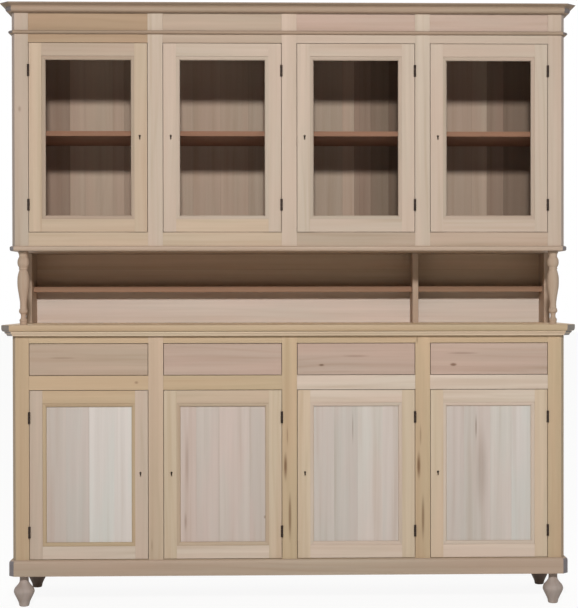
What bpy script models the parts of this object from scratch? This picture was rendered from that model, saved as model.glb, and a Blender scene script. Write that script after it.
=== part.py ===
"""A china cabinet in raw wood: a four-door base on turned feet, an open niche and a glazed hutch.

The origin lies on the floor, below the middle of the whole outline. The front faces -Y.
"""

import math

import bmesh
import bpy
from mathutils import Matrix, Vector

NAME = "china_cabinet"

# Layout across the front, in metres
BAYS = 4
BAY_WIDTH = 0.430
POST_WIDTH = 0.054
CORNER_STILE_WIDTH = 0.060
CORNER_CHAMFER = 0.011

# Depth and board thicknesses
BODY_DEPTH = 0.420
FRAME_THICKNESS = 0.024
RAIL_SETBACK = 0.001
SIDE_THICKNESS = 0.020
PARTITION_THICKNESS = 0.018
BACK_THICKNESS = 0.010

# Gap between pieces that touch, and how far glued pieces reach into each other
SEAT_GAP = 0.0003
GLUE_DEPTH = 0.001

# Heights of the base, from the floor up
FOOT_HEIGHT = 0.115
BASE_BOTTOM_RAIL = 0.058
LOWER_OPENING = 0.614
BASE_MID_RAIL = 0.052
DRAWER_OPENING = 0.117
BASE_TOP_RAIL = 0.043
WORKTOP_THICKNESS = 0.024

# Heights of the niche and the hutch
NICHE_HEIGHT = 0.267
HUTCH_BOTTOM_BOARD = 0.018
HUTCH_BOTTOM_RAIL = 0.049
UPPER_OPENING = 0.685
HUTCH_TOP_RAIL = 0.037
FRIEZE_HEIGHT = 0.082
FRIEZE_SETBACK = 0.003
TOP_BOARD = 0.020

# Mouldings, each as (projection from the body, height) from its bottom edge up
PLINTH_PROFILE = ((0.0135, 0), (0.0135, 0.046), (0.0120, 0.051), (0.0090, 0.0545), (0.005, 0.057), (0, 0.057), (0, 0))
APRON_PROFILE = ((0.018, 0), (0.020, 0.004), (0.0235, 0.008), (0.027, 0.0115), (0.027, 0.017), (0, 0.017), (0, 0))
BEAD_PROFILE = ((0.004, 0.001), (0.010, 0.004), (0.0115, 0.0075), (0.010, 0.011), (0.004, 0.014), (0, 0.015), (0, 0))
CORNICE_PROFILE = (
    (0.004, 0),
    (0.014, 0.002),
    (0.019, 0.006),
    (0.0205, 0.011),
    (0.0205, 0.017),
    (0.0185, 0.022),
    (0.024, 0.0255),
    (0.036, 0.029),
    (0.040, 0.033),
    (-0.001, 0.033),
    (-0.001, 0.014),
    (0, 0.014),
    (0, 0),
)

# Moulded boards: the projection of their edge at each height above their underside
WORKTOP_EDGE = ((0.031, 0), (0.036, 0.004), (0.038, 0.010), (0.038, 0.0215), (0.0355, 0.024))
HUTCH_BOTTOM_EDGE = ((0.005, 0), (0.008, 0.003), (0.0090, 0.007), (0.0090, 0.012), (0.0065, 0.016), (0.003, 0.018))

# Turned feet, as (radius, share of their height) from the top down
FOOT_PROFILE = (
    (0.0190, 1),
    (0.0160, 0.93),
    (0.0165, 0.78),
    (0.0220, 0.70),
    (0.0330, 0.59),
    (0.0373, 0.47),
    (0.0330, 0.36),
    (0.0205, 0.13),
    (0.0175, 0),
)
FOOT_INSET = 0.035
REAR_FOOT_INSET = 0.024
FOOT_STEPS = 16
CORNER_BLOCK = 0.060

# Turned balusters, as (radius, share of their height) from the top down
BALUSTER_PROFILE = (
    (0.0185, 1),
    (0.0155, 0.932),
    (0.0210, 0.848),
    (0.0138, 0.757),
    (0.0208, 0.658),
    (0.0215, 0.551),
    (0.0165, 0.410),
    (0.0120, 0.285),
    (0.0160, 0.190),
    (0.0092, 0.121),
    (0.0130, 0.048),
    (0.0130, 0),
)
BALUSTER_INSET = 0.035
BALUSTER_STEPS = 16

# Shelf unit at the back of the niche
NICHE_SUPPORT_DEPTH = 0.130
NICHE_SUPPORT_THICKNESS = 0.022
NICHE_SHELF_DEPTH = 0.076
NICHE_SHELF_THICKNESS = 0.021
NICHE_SHELF_TOP = 0.140
NICHE_DIVIDER_POST = 2

# Inside the cabinets
FLOOR_THICKNESS = 0.020
FLOOR_DROP = 0.002
SHELF_THICKNESS = 0.018
SHELF_TOP = 0.372
SHELF_SETBACK = 0.055
HUTCH_PARTITION_POSTS = (1, 2)

# Drawers and what they run on
DRAWER_GAP = 0.002
DRAWER_FRONT = 0.020
DRAWER_SIDE = 0.012
DRAWER_SIDE_HEIGHT = 0.108
DRAWER_REAR_SPACE = 0.0397
DRAWER_BOTTOM = 0.006
RUNNER_HEIGHT = 0.020
RUNNER_LIP = 0.006
GUIDE_CLEARANCE = 0.001

# Doors: a mitred ring of one section, (distance in from its edge, distance behind its face)
DOOR_GAP = 0.002
DOOR_MEMBER = 0.046
BEAD_WIDTH = 0.0135
BEAD_DROP = 0.003
BEAD_EDGE = 0.009
PANE_RECESS = 0.012
PANE_GROOVE = 0.008
GLASS_THICKNESS = 0.004
PANEL_THICKNESS = 0.006
STOP_LENGTH = 0.060
STOP_HEIGHT = 0.040
STOP_OVERLAP = 0.015
STOP_THICKNESS = 0.016

# Butt hinges: the pin stands in front of the face, over the middle of the gap
HINGE_HEIGHT = 0.042
HINGE_INSET = 0.100
LEAF_DEPTH = 0.020
KNUCKLE_RADIUS = 0.0045
PIN_RADIUS = 0.0015
BORE_CLEARANCE = 0.0004
KNUCKLE_SIDES = 8

# Locks on the back of the free stile
KEYHOLE_INSET = 0.027
KEYHOLE_RADIUS = 0.0040
KEYHOLE_SLOT = 0.0050
KEYHOLE_DROP = 0.013
LOCK_EDGE = 0.003
LOCK_WIDTH = 0.040
LOCK_HEIGHT = 0.060
LOCK_THICKNESS = 0.012
BOLT_LENGTH = 0.030
BOLT_HEIGHT = 0.012
BOLT_THICKNESS = 0.006
BOLT_CLEARANCE = 0.0005

# Levels and planes worked out from the sizes above
HALF_WIDTH = (BAYS * BAY_WIDTH + (BAYS - 1) * POST_WIDTH) / 2 + CORNER_STILE_WIDTH
OVERHANG = SEAT_GAP + max(point[0] for point in CORNICE_PROFILE + WORKTOP_EDGE + PLINTH_PROFILE)
FRONT = (OVERHANG - BODY_DEPTH) / 2
BACK = FRONT + BODY_DEPTH
FRAME_BACK = FRONT + FRAME_THICKNESS
INNER_FRONT = FRAME_BACK + SEAT_GAP
BACK_FACE = BACK - BACK_THICKNESS
INNER_BACK = BACK_FACE - SEAT_GAP
DRAWER_REAR = INNER_BACK - DRAWER_REAR_SPACE
SIDE_FACE = HALF_WIDTH - SIDE_THICKNESS

LOWER_SILL = FOOT_HEIGHT + BASE_BOTTOM_RAIL
MID_RAIL = LOWER_SILL + LOWER_OPENING
DRAWER_SILL = MID_RAIL + BASE_MID_RAIL
BASE_HEAD = DRAWER_SILL + DRAWER_OPENING
BASE_TOP = BASE_HEAD + BASE_TOP_RAIL
WORKTOP = BASE_TOP + WORKTOP_THICKNESS
HUTCH = WORKTOP + NICHE_HEIGHT
HUTCH_FRAME = HUTCH + HUTCH_BOTTOM_BOARD
UPPER_SILL = HUTCH_FRAME + HUTCH_BOTTOM_RAIL
UPPER_HEAD = UPPER_SILL + UPPER_OPENING
FRIEZE = UPPER_HEAD + HUTCH_TOP_RAIL
HUTCH_TOP = FRIEZE + FRIEZE_HEIGHT
TOTAL_HEIGHT = HUTCH_TOP + TOP_BOARD

PIN_STANDOFF = KNUCKLE_RADIUS + SEAT_GAP

# Finishes, as (linear colour, roughness, metallic)
PALE_WOOD = ((0.52, 0.43, 0.32), 0.65, 0.0)
BOARD_WOOD = ((0.47, 0.38, 0.27), 0.7, 0.0)
PANEL_WOOD = ((0.58, 0.49, 0.42), 0.7, 0.0)
DRAWER_WOOD = ((0.48, 0.36, 0.30), 0.7, 0.0)
TURNED_WOOD = ((0.32, 0.26, 0.21), 0.7, 0.0)
INNER_WOOD = ((0.40, 0.29, 0.20), 0.75, 0.0)
GLASS = ((0.80, 0.85, 0.84), 0.05, 0.0)
IRON = ((0.05, 0.04, 0.035), 0.5, 0.9)

for old in list(bpy.data.objects):
    bpy.data.objects.remove(old)

parts = bpy.data.collections.new(NAME)
cutters = bpy.data.collections.new("cutters")
bpy.context.scene.collection.children.link(parts)
bpy.context.scene.collection.children.link(cutters)


def material(name, finish):
    """One sub-part's own material."""
    colour, roughness, metallic = finish
    made = bpy.data.materials.new(name)
    made.use_nodes = True
    shader = made.node_tree.nodes["Principled BSDF"]
    shader.inputs["Base Color"].default_value = (*colour, 1.0)
    shader.inputs["Roughness"].default_value = roughness
    shader.inputs["Metallic"].default_value = metallic
    return made


def span(first, second):
    """Two limits in rising order."""
    return min(first, second), max(first, second)


def about(middle, size):
    """The two limits of a size laid out about its middle."""
    return middle - size / 2, middle + size / 2


class Shapes:
    """Solids drawn in world coordinates, to become one named object."""

    def __init__(self):
        self.mesh = bmesh.new()

    def box(self, x, y, z):
        size = Vector((x[1] - x[0], y[1] - y[0], z[1] - z[0]))
        centre = Vector((x[0] + x[1], y[0] + y[1], z[0] + z[1])) / 2
        place = Matrix.Translation(centre) @ Matrix.Diagonal((*size, 1.0))
        bmesh.ops.create_cube(self.mesh, size=1.0, matrix=place)

    def cylinder(self, radius, z, sides):
        bmesh.ops.create_cone(
            self.mesh,
            cap_ends=True,
            segments=sides,
            radius1=radius,
            radius2=radius,
            depth=z[1] - z[0],
            matrix=Matrix.Translation((0, 0, (z[0] + z[1]) / 2)),
        )

    def loft(self, sections, closed=False):
        """Joins sections of as many points each, and caps both ends or closes the ring."""
        loops = [[self.mesh.verts.new(point) for point in section] for section in sections]
        count = len(loops[0])
        following = loops[1:] + loops[:1] if closed else loops[1:]
        for low, high in zip(loops, following):
            for index in range(count):
                after = (index + 1) % count
                self.mesh.faces.new((low[index], low[after], high[after], high[index]))
        if not closed:
            self.mesh.faces.new(loops[0])
            self.mesh.faces.new(loops[-1])

    def copy(self, source, place):
        """Adds a placed copy of a finished mesh."""
        before = set(self.mesh.verts)
        self.mesh.from_mesh(source)
        added = [vert for vert in self.mesh.verts if vert not in before]
        bmesh.ops.transform(self.mesh, matrix=place, verts=added)

    def finish(self, name, collection, origin=(0, 0, 0), parent=None):
        """Makes the object, with its origin at a point in the world."""
        bmesh.ops.recalc_face_normals(self.mesh, faces=self.mesh.faces)
        bmesh.ops.translate(self.mesh, verts=self.mesh.verts, vec=-Vector(origin))
        mesh = bpy.data.meshes.new(name)
        self.mesh.to_mesh(mesh)
        self.mesh.free()
        obj = bpy.data.objects.new(name, mesh)
        obj.location = origin
        if parent:
            obj.parent = parent
            obj.location = Vector(origin) - parent.location
        collection.objects.link(obj)
        return obj

    def part(self, name, finish, origin=(0, 0, 0), parent=None):
        obj = self.finish(name, parts, origin, parent)
        obj.data.materials.append(material(name, finish))
        return obj

    def cutter(self, name, parent=None):
        origin = parent.location if parent else (0, 0, 0)
        obj = self.finish(name, cutters, origin, parent)
        obj.hide_render = True
        obj.display_type = "WIRE"
        return obj


def combine(obj, operation, tool):
    """Glues a tool's solids to an object, or cuts them away."""
    boolean = obj.modifiers.new(tool.name, "BOOLEAN")
    boolean.operation = operation
    boolean.solver = "EXACT"
    boolean.object = tool


def pivot(name, place):
    """An empty on a moving piece's axis."""
    empty = bpy.data.objects.new(name, None)
    empty.location = place
    empty.empty_display_size = HINGE_HEIGHT
    parts.objects.link(empty)
    return empty


def turned(name, profile, steps, place, height):
    """A turned piece: its profile, from the top down, spun about the vertical axis through its foot."""
    mesh = bmesh.new()
    line = [(0, profile[0][1]), *profile, (0, profile[-1][1])]
    verts = [mesh.verts.new((radius, 0, share * height)) for radius, share in line]
    for upper, lower in zip(verts, verts[1:]):
        mesh.edges.new((upper, lower))
    data = bpy.data.meshes.new(name)
    mesh.to_mesh(data)
    mesh.free()
    data.materials.append(material(name, TURNED_WOOD))
    obj = bpy.data.objects.new(name, data)
    obj.location = place
    parts.objects.link(obj)
    spin = obj.modifiers.new("turning", "SCREW")
    spin.angle = math.tau
    spin.steps = steps
    spin.render_steps = steps
    spin.use_merge_vertices = True
    spin.merge_threshold = 0.00001
    spin.use_smooth_shade = True


def mitred_sections(path, profile, place, closed=False):
    """A moulding's section at each corner of a path, for a loft.

    A profile point is (distance to the right of the path, distance across its plane).
    """
    corners = [Vector(point) for point in path]
    ways = [(end - start).normalized() for start, end in zip(corners, corners[1:] + corners[:1])]
    sides = [Vector((way.y, -way.x)) for way in ways]
    sections = []
    for index, corner in enumerate(corners):
        before, after = sides[index - 1], sides[index]
        if not closed and index == 0:
            before = after
        if not closed and index == len(corners) - 1:
            after = before
        mitre = (before + after) / (1 + before.dot(after))
        sections.append([place(corner + u * mitre, v) for u, v in profile])
    return sections


def body_outline(offset, rear):
    """The cabinet's outline in plan, grown by an offset at the front and the sides."""
    across = HALF_WIDTH + offset
    corner = math.tan(math.pi / 8) * offset
    front = HALF_WIDTH - CORNER_CHAMFER + corner
    side = FRONT + CORNER_CHAMFER - corner
    return [
        (-across, rear),
        (-across, side),
        (-front, FRONT - offset),
        (front, FRONT - offset),
        (across, side),
        (across, rear),
    ]


def moulding(profile, bottom, seat=SEAT_GAP):
    """A moulding round the front, the canted corners and the sides."""
    shapes = Shapes()
    path = body_outline(seat, BACK)
    shapes.loft(mitred_sections(path, profile, lambda flat, up: (flat.x, flat.y, bottom + up)))
    return shapes


def moulded_board(edge, bottom, rear):
    shapes = Shapes()
    shapes.loft([[(*point, bottom + up) for point in body_outline(offset, rear)] for offset, up in edge])
    return shapes


def bay_left(bay):
    return -HALF_WIDTH + CORNER_STILE_WIDTH + bay * (BAY_WIDTH + POST_WIDTH)


def bay_right(bay):
    return bay_left(bay) + BAY_WIDTH


def post_centre(post):
    return bay_right(post) + POST_WIDTH / 2


def hinge_side(bay):
    """The first door hangs on the left, the others on the right: (hinge edge, free edge, direction)."""
    if bay == 0:
        return bay_left(bay), bay_right(bay), 1
    return bay_right(bay), bay_left(bay), -1


def hinge_leaf(name, side, barrels):
    """One leaf about its pin: a plate let into the wood, and barrels with a tail to the plate."""
    across = span(side * SEAT_GAP / 2, side * (DOOR_GAP / 2 + GLUE_DEPTH))
    front = PIN_STANDOFF + SEAT_GAP
    plate = Shapes()
    plate.box(across, (front, PIN_STANDOFF + LEAF_DEPTH), about(0, HINGE_HEIGHT))
    leaf = plate.finish(name, cutters)
    tails, rounds = Shapes(), Shapes()
    for height in barrels:
        tails.box(across, (0, front + GLUE_DEPTH), height)
        rounds.cylinder(KNUCKLE_RADIUS, height, KNUCKLE_SIDES)
    combine(leaf, "UNION", tails.cutter(f"{name}_tails"))
    combine(leaf, "UNION", rounds.cutter(f"{name}_barrels"))
    return leaf


def made_mesh(obj):
    """An object's mesh with its modifiers applied; the object goes."""
    graph = bpy.context.evaluated_depsgraph_get()
    mesh = bpy.data.meshes.new_from_object(obj.evaluated_get(graph))
    bpy.data.objects.remove(obj)
    return mesh


def hinge_meshes():
    """The fixed leaf, bored for the pin, and the moving leaf, which holds it."""
    third, half = HINGE_HEIGHT / 3, HINGE_HEIGHT / 2
    low = (-half, -third / 2 - SEAT_GAP / 2)
    middle = (-third / 2 + SEAT_GAP / 2, third / 2 - SEAT_GAP / 2)
    high = (third / 2 + SEAT_GAP / 2, half)
    fixed = hinge_leaf("fixed_leaf", -1, (middle,))
    bore = Shapes()
    bore.cylinder(PIN_RADIUS + BORE_CLEARANCE, (-half, half), KNUCKLE_SIDES)
    combine(fixed, "DIFFERENCE", bore.cutter("pin_bore"))
    moving = hinge_leaf("moving_leaf", 1, (low, high))
    pin = Shapes()
    pin.cylinder(PIN_RADIUS, (-half + GLUE_DEPTH, half - GLUE_DEPTH), KNUCKLE_SIDES)
    combine(moving, "UNION", pin.cutter("hinge_pin"))
    return made_mesh(fixed), made_mesh(moving)


def hinge_places(bay, sill, opening):
    """Where a door's two hinges sit, facing the way the door lies."""
    edge, _, direction = hinge_side(bay)
    turn = Matrix.Diagonal((direction, 1, 1, 1))
    for height in (sill + HINGE_INSET, sill + opening - HINGE_INSET):
        place = Matrix.Translation((edge + direction * DOOR_GAP / 2, FRONT - PIN_STANDOFF, height))
        yield place @ turn


def face_frame(name, bottom, top, rails, sill, opening, fixed_leaf):
    """Stiles with chamfered corners, posts, rails, door stops and the hinges' fixed leaves, glued up.

    A rail is (its bottom, its top, how far its face lies behind the posts).
    """
    frame = Shapes()
    for side in (-1, 1):
        corner = [
            (side * HALF_WIDTH, FRAME_BACK),
            (side * HALF_WIDTH, FRONT + CORNER_CHAMFER),
            (side * (HALF_WIDTH - CORNER_CHAMFER), FRONT),
            (side * (HALF_WIDTH - CORNER_STILE_WIDTH), FRONT),
            (side * (HALF_WIDTH - CORNER_STILE_WIDTH), FRAME_BACK),
        ]
        frame.loft([[(*point, height) for point in corner] for height in (bottom, top)])
    for post in range(BAYS - 1):
        frame.box(about(post_centre(post), POST_WIDTH), (FRONT, FRAME_BACK), (bottom, top))
    obj = frame.part(name, PALE_WOOD)

    across = (bay_left(0) - GLUE_DEPTH, bay_right(BAYS - 1) + GLUE_DEPTH)
    for index, (low, high, setback) in enumerate(rails):
        rail = Shapes()
        rail.box(across, (FRONT + setback, FRAME_BACK - RAIL_SETBACK), (low, high))
        combine(obj, "UNION", rail.cutter(f"{name}_rail_{index}"))

    fittings = Shapes()
    stop_low = sill + opening - STOP_OVERLAP
    for bay in range(BAYS):
        _, free, direction = hinge_side(bay)
        width = span(free - direction * STOP_LENGTH, free - direction * 2 * STOP_LENGTH)
        stop_back = INNER_FRONT + STOP_THICKNESS
        fittings.box(width, (INNER_FRONT, stop_back), (stop_low, stop_low + STOP_HEIGHT))
        for place in hinge_places(bay, sill, opening):
            fittings.copy(fixed_leaf, place)
    combine(obj, "UNION", fittings.cutter(f"{name}_fittings"))

    cleats = Shapes()
    for bay in range(BAYS):
        _, free, direction = hinge_side(bay)
        width = span(free - direction * (STOP_LENGTH + GLUE_DEPTH), free - direction * (2 * STOP_LENGTH - GLUE_DEPTH))
        joint = (sill + opening + GLUE_DEPTH, stop_low + STOP_HEIGHT - GLUE_DEPTH)
        cleats.box(width, (FRAME_BACK - 2 * RAIL_SETBACK, INNER_FRONT + GLUE_DEPTH), joint)
    combine(obj, "UNION", cleats.cutter(f"{name}_stop_joints"))


def side_board(name, side, bottom, top):
    shapes = Shapes()
    shapes.box(span(side * SIDE_FACE, side * HALF_WIDTH), (INNER_FRONT, BACK), (bottom, top))
    return shapes.part(name, BOARD_WOOD)


def back_panel(name, bottom, top):
    shapes = Shapes()
    shapes.box(about(0, 2 * (SIDE_FACE - SEAT_GAP)), (BACK_FACE, BACK), (bottom, top))
    shapes.part(name, INNER_WOOD)


def partition(name, post, bottom, top):
    shapes = Shapes()
    shapes.box(about(post_centre(post), PARTITION_THICKNESS), (INNER_FRONT, INNER_BACK), (bottom, top))
    return shapes.part(name, INNER_WOOD)


def feet():
    for x, across in ((-1, "left"), (1, "right")):
        for y, along, inset in ((FRONT + FOOT_INSET, "front", FOOT_INSET), (BACK - FOOT_INSET, "rear", REAR_FOOT_INSET)):
            place = (x * (HALF_WIDTH - inset), y, 0)
            turned(f"foot_{along}_{across}", FOOT_PROFILE, FOOT_STEPS, place, FOOT_HEIGHT - SEAT_GAP)


def base_floor():
    """The floor board, with a block under each corner for the feet."""
    top = LOWER_SILL - FLOOR_DROP
    half = SIDE_FACE - SEAT_GAP
    floor = Shapes()
    floor.box((-half, half), (INNER_FRONT, INNER_BACK), (top - FLOOR_THICKNESS, top))
    board = floor.part("base_floor", INNER_WOOD)
    blocks = Shapes()
    inset = half - GLUE_DEPTH
    front, back = INNER_FRONT + GLUE_DEPTH, INNER_BACK - GLUE_DEPTH
    for side in (-1, 1):
        across = span(side * inset, side * (inset - CORNER_BLOCK))
        up = (FOOT_HEIGHT, top - FLOOR_THICKNESS + GLUE_DEPTH)
        blocks.box(across, (front, front + CORNER_BLOCK), up)
        blocks.box(across, (back - CORNER_BLOCK, back), up)
    combine(board, "UNION", blocks.cutter("corner_blocks"))
    return top


def add_runners(board, face, edge, inward):
    """Glues to a board, for one side of a drawer, a runner with a guide on it, a kicker and a rear stop.

    The face is the board's, the edge is the opening's, and inward points into the bay.
    """
    glued = face - inward * GLUE_DEPTH
    outer = edge + inward * DRAWER_GAP
    inner = outer + inward * DRAWER_SIDE
    deep = (INNER_FRONT + GLUE_DEPTH, INNER_BACK - GLUE_DEPTH)
    bottom = DRAWER_SILL + DRAWER_GAP
    track = (bottom - SEAT_GAP - RUNNER_HEIGHT, bottom - SEAT_GAP)
    beside = (track[1] - GLUE_DEPTH, bottom + RUNNER_HEIGHT)
    rear = DRAWER_REAR + SEAT_GAP

    runner, guide, stop = Shapes(), Shapes(), Shapes()
    runner.box(span(glued, inner + inward * RUNNER_LIP), deep, track)
    runner.box(span(glued, inner), deep, (BASE_HEAD, BASE_HEAD + RUNNER_HEIGHT))
    guide.box(span(glued, outer - inward * GUIDE_CLEARANCE), deep, beside)
    stop.box(span(glued, inner), (rear, deep[1] - GLUE_DEPTH), (beside[0], beside[1] + GLUE_DEPTH))
    for index, piece in enumerate((runner, guide, stop)):
        combine(board, "UNION", piece.cutter(f"{board.name}_{edge:.3f}_{index}"))


def base_boards(floor_top):
    """Side boards and partitions, with what the drawers run on."""
    top = BASE_TOP - SEAT_GAP
    for side, word, edge in ((-1, "left", bay_left(0)), (1, "right", bay_right(BAYS - 1))):
        board = side_board(f"base_side_{word}", side, FOOT_HEIGHT, top)
        add_runners(board, side * SIDE_FACE, edge, -side)
    for post in range(BAYS - 1):
        board = partition(f"base_partition_{post + 1}", post, floor_top + SEAT_GAP, top)
        left, right = about(post_centre(post), PARTITION_THICKNESS)
        add_runners(board, left, bay_right(post), -1)
        add_runners(board, right, bay_left(post + 1), 1)


def worktop():
    """The moulded board, with the apron moulding glued under its edge."""
    board = moulded_board(WORKTOP_EDGE, BASE_TOP, BACK).part("worktop", PALE_WOOD)
    apron = moulding(APRON_PROFILE, BASE_TOP + GLUE_DEPTH - APRON_PROFILE[-2][1])
    combine(board, "UNION", apron.cutter("apron_moulding"))


def balusters():
    for side, word in ((-1, "left"), (1, "right")):
        place = (side * (HALF_WIDTH - BALUSTER_INSET), FRONT + BALUSTER_INSET, WORKTOP + SEAT_GAP)
        turned(f"baluster_{word}", BALUSTER_PROFILE, BALUSTER_STEPS, place, NICHE_HEIGHT - 2 * SEAT_GAP)


def niche_shelf():
    """End supports and a divider at the back of the niche, with a shallow shelf through them."""
    up = (WORKTOP + SEAT_GAP, HUTCH - SEAT_GAP)
    deep = (BACK - NICHE_SUPPORT_DEPTH, INNER_BACK)
    end = HALF_WIDTH - NICHE_SUPPORT_THICKNESS / 2
    uprights = Shapes()
    for x in (-end, post_centre(NICHE_DIVIDER_POST), end):
        uprights.box(about(x, NICHE_SUPPORT_THICKNESS), deep, up)
    unit = uprights.part("niche_shelf", BOARD_WOOD)
    top = WORKTOP + NICHE_SHELF_TOP
    shelf = Shapes()
    deep = (INNER_BACK - NICHE_SHELF_DEPTH, INNER_BACK - GLUE_DEPTH)
    shelf.box((-end, end), deep, (top - NICHE_SHELF_THICKNESS, top))
    combine(unit, "UNION", shelf.cutter("niche_shelf_board"))


def hutch_boards():
    moulded_board(HUTCH_BOTTOM_EDGE, HUTCH, INNER_BACK).part("hutch_bottom_board", PALE_WOOD)
    low, high = HUTCH_FRAME + SEAT_GAP, HUTCH_TOP - SEAT_GAP
    for side, word in ((-1, "left"), (1, "right")):
        side_board(f"hutch_side_{word}", side, low, high)

    floor_top = UPPER_SILL - FLOOR_DROP
    across = about(0, 2 * (SIDE_FACE - SEAT_GAP))
    floor = Shapes()
    floor.box(across, (INNER_FRONT, INNER_BACK), (floor_top - SHELF_THICKNESS, floor_top))
    floor.part("hutch_floor", INNER_WOOD)

    shelf_front = FRONT + SHELF_SETBACK
    shelf_top = UPPER_SILL + SHELF_TOP
    halfway = (shelf_front + INNER_BACK) / 2
    shelf = Shapes()
    shelf.box(across, (shelf_front, INNER_BACK), (shelf_top - SHELF_THICKNESS, shelf_top))
    shelf_board = shelf.part("hutch_shelf", INNER_WOOD)
    notches, slots = Shapes(), Shapes()
    slot = (shelf_top - SHELF_THICKNESS - SEAT_GAP, shelf_top + SEAT_GAP)
    for post in HUTCH_PARTITION_POSTS:
        notch = about(post_centre(post), PARTITION_THICKNESS + 2 * SEAT_GAP)
        clear = (slot[0] - SHELF_THICKNESS, slot[1] + SHELF_THICKNESS)
        notches.box(notch, (FRONT, halfway + SEAT_GAP / 2), clear)
        wide = about(post_centre(post), 2 * PARTITION_THICKNESS)
        slots.box(wide, (halfway - SEAT_GAP / 2, BACK), slot)
    combine(shelf_board, "DIFFERENCE", notches.cutter("shelf_notches"))
    slot_cutter = slots.cutter("partition_slots")
    for post in HUTCH_PARTITION_POSTS:
        board = partition(f"hutch_partition_{post + 1}", post, floor_top + SEAT_GAP, high)
        combine(board, "DIFFERENCE", slot_cutter)


def cornice():
    """The top board, with the cornice glued round it."""
    top = Shapes()
    top.loft([[(*point, up) for point in body_outline(0, BACK)] for up in (HUTCH_TOP, TOTAL_HEIGHT)])
    board = top.part("cornice", PALE_WOOD)
    bottom = TOTAL_HEIGHT - CORNICE_PROFILE[-4][1]
    combine(board, "UNION", moulding(CORNICE_PROFILE, bottom).cutter("cornice_moulding"))


def outer_mouldings():
    moulding(PLINTH_PROFILE, FOOT_HEIGHT).part("plinth_moulding", PALE_WOOD)
    moulding(BEAD_PROFILE, FRIEZE - BEAD_PROFILE[-2][1] / 2).part("frieze_bead", PALE_WOOD)


def keyhole_outline(centre, height):
    """A round hole over a slot, as points across and up."""
    half = KEYHOLE_SLOT / 2
    start = math.asin(half / KEYHOLE_RADIUS)
    arcs = 8
    turn = (math.tau - 2 * start) / arcs
    outline = [(centre + half, height - KEYHOLE_DROP)]
    for arc in range(arcs + 1):
        angle = -math.pi / 2 + start + arc * turn
        outline.append((centre + KEYHOLE_RADIUS * math.cos(angle), height + KEYHOLE_RADIUS * math.sin(angle)))
    outline.append((centre - half, height - KEYHOLE_DROP))
    return outline


def door_section(pane_thickness):
    """The section of a door's frame: face, bead, groove for the pane, and back."""
    sight = DOOR_MEMBER + BEAD_WIDTH
    groove = sight - PANE_GROOVE
    front, back = PANE_RECESS - SEAT_GAP, PANE_RECESS + pane_thickness + SEAT_GAP
    return (
        (0, 0),
        (DOOR_MEMBER, 0),
        (DOOR_MEMBER, BEAD_DROP),
        (DOOR_MEMBER + BEAD_DROP, BEAD_DROP),
        (sight, BEAD_EDGE),
        (sight, front),
        (groove, front),
        (groove, back),
        (sight - BEAD_DROP, back),
        (sight - BEAD_DROP, FRAME_THICKNESS),
        (0, FRAME_THICKNESS),
    )


def door(name, bay, sill, opening, pane, moving_leaf):
    """A framed door with its pane, lock and bolt, hung on its pins."""
    hinge, free, direction = hinge_side(bay)
    far = free - direction * DOOR_GAP
    left, right = span(hinge + direction * DOOR_GAP, far)
    low, high = sill + DOOR_GAP, sill + opening - DOOR_GAP
    axis = pivot(f"{name}_axis", (hinge + direction * DOOR_GAP / 2, FRONT - PIN_STANDOFF, sill))
    thickness, finish, pane_name = pane

    ring = [(left, low), (left, high), (right, high), (right, low)]
    sections = mitred_sections(
        ring, door_section(thickness), lambda flat, deep: (flat.x, FRONT + deep, flat.y), closed=True
    )
    frame = Shapes()
    frame.loft(sections, closed=True)
    door_frame = frame.part(f"{name}_frame", PALE_WOOD, axis.location, axis)

    inset = DOOR_MEMBER + BEAD_WIDTH - PANE_GROOVE + SEAT_GAP
    sheet = Shapes()
    across, up = (left + inset, right - inset), (low + inset, high - inset)
    sheet.box(across, (FRONT + PANE_RECESS, FRONT + PANE_RECESS + thickness), up)
    sheet.part(f"{name}_{pane_name}", finish, axis.location, axis)

    middle = sill + opening / 2
    case_edge = far - direction * LOCK_EDGE
    case_back = FRAME_BACK + LOCK_THICKNESS
    bolt_deep = about(FRAME_BACK + LOCK_THICKNESS / 2, BOLT_THICKNESS)
    iron = Shapes()
    case = span(case_edge, case_edge - direction * LOCK_WIDTH)
    iron.box(case, (FRAME_BACK - GLUE_DEPTH, case_back), about(middle, LOCK_HEIGHT))
    for place in hinge_places(bay, sill, opening):
        iron.copy(moving_leaf, place)
    combine(door_frame, "UNION", iron.cutter(f"{name}_ironwork", axis))

    clear = 2 * BOLT_CLEARANCE
    cuts = Shapes()
    channel = span(case_edge + direction * LOCK_EDGE, case_edge - direction * (BOLT_LENGTH + clear))
    channel_deep = about(FRAME_BACK + LOCK_THICKNESS / 2, BOLT_THICKNESS + clear)
    cuts.box(channel, channel_deep, about(middle, BOLT_HEIGHT + clear))
    combine(door_frame, "DIFFERENCE", cuts.cutter(f"{name}_bolt_channel", axis))
    hole = keyhole_outline(far - direction * KEYHOLE_INSET, middle + KEYHOLE_DROP / 2)
    keyhole = Shapes()
    keyhole.loft([[(x, y, z) for x, z in hole] for y in (FRONT - GLUE_DEPTH, channel_deep[0] + GLUE_DEPTH)])
    combine(door_frame, "DIFFERENCE", keyhole.cutter(f"{name}_keyhole", axis))

    tip = case_edge - direction * BOLT_CLEARANCE
    bolt = Shapes()
    bolt.box(span(tip, tip - direction * BOLT_LENGTH), bolt_deep, about(middle, BOLT_HEIGHT))
    bolt.part(f"{name}_bolt", IRON, (tip, bolt_deep[0], middle), axis)


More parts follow.
